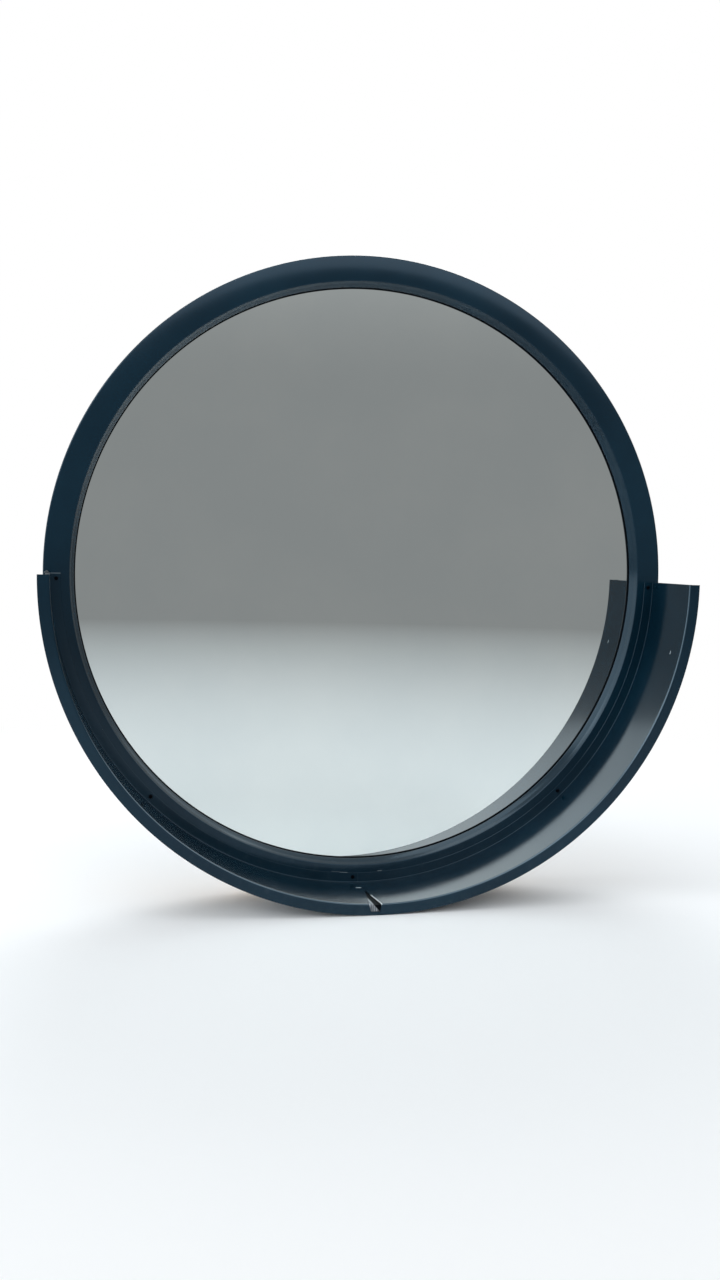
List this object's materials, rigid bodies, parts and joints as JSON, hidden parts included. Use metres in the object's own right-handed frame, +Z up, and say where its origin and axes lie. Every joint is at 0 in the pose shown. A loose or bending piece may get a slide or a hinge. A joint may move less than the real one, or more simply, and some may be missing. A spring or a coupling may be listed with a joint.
{
  "type": "round fixed window",
  "caption": "Round fixed window: timber ring clad outside in dark metal, sealed glass unit, and a folded half-round sill below it with an open seam at its lowest point.",
  "frame": {"origin": "on the window's axis, in the plane of the cladding's front face", "axes": "+Y along the axis into the building, +Z up, +X to the right seen from outside"},
  "size_m": [1.62, 0.303, 1.6099],
  "materials": {
    "timber": "clear satin lacquer",
    "dark_coating": "dark anthracite powder coating, satin",
    "clip_plastic": "moulded",
    "black_rubber": "extruded",
    "grey_tape": "foam tape",
    "clear_glass": "clear float glass with a mirror-like reflection",
    "black_spacer": "warm-edge spacer with sealant",
    "block_plastic": "moulded",
    "bare_aluminium": "mill finish",
    "joint_tape": "compressed foam tape",
    "bitumen": "bitumen felt"
  },
  "bodies": {
    "root": {"timber_ring": "timber", "glazing_bead": "timber", "cladding_ring": "dark_coating", "sill_right": "dark_coating", "sill_left": "dark_coating", "cladding_clips": "clip_plastic", "outer_gasket": "black_rubber", "seam_strip": "black_rubber", "inner_glazing_tape": "grey_tape", "outer_pane": "clear_glass", "inner_pane": "clear_glass", "spacer_ring": "black_spacer", "setting_blocks": "block_plastic", "location_blocks": "block_plastic", "sill_screws": "dark_coating", "seam_strap": "bare_aluminium", "end_tape_right": "joint_tape", "end_tape_left": "joint_tape", "deadening_pads_right": "bitumen", "deadening_pads_left": "bitumen"}
  },
  "joints": []
}
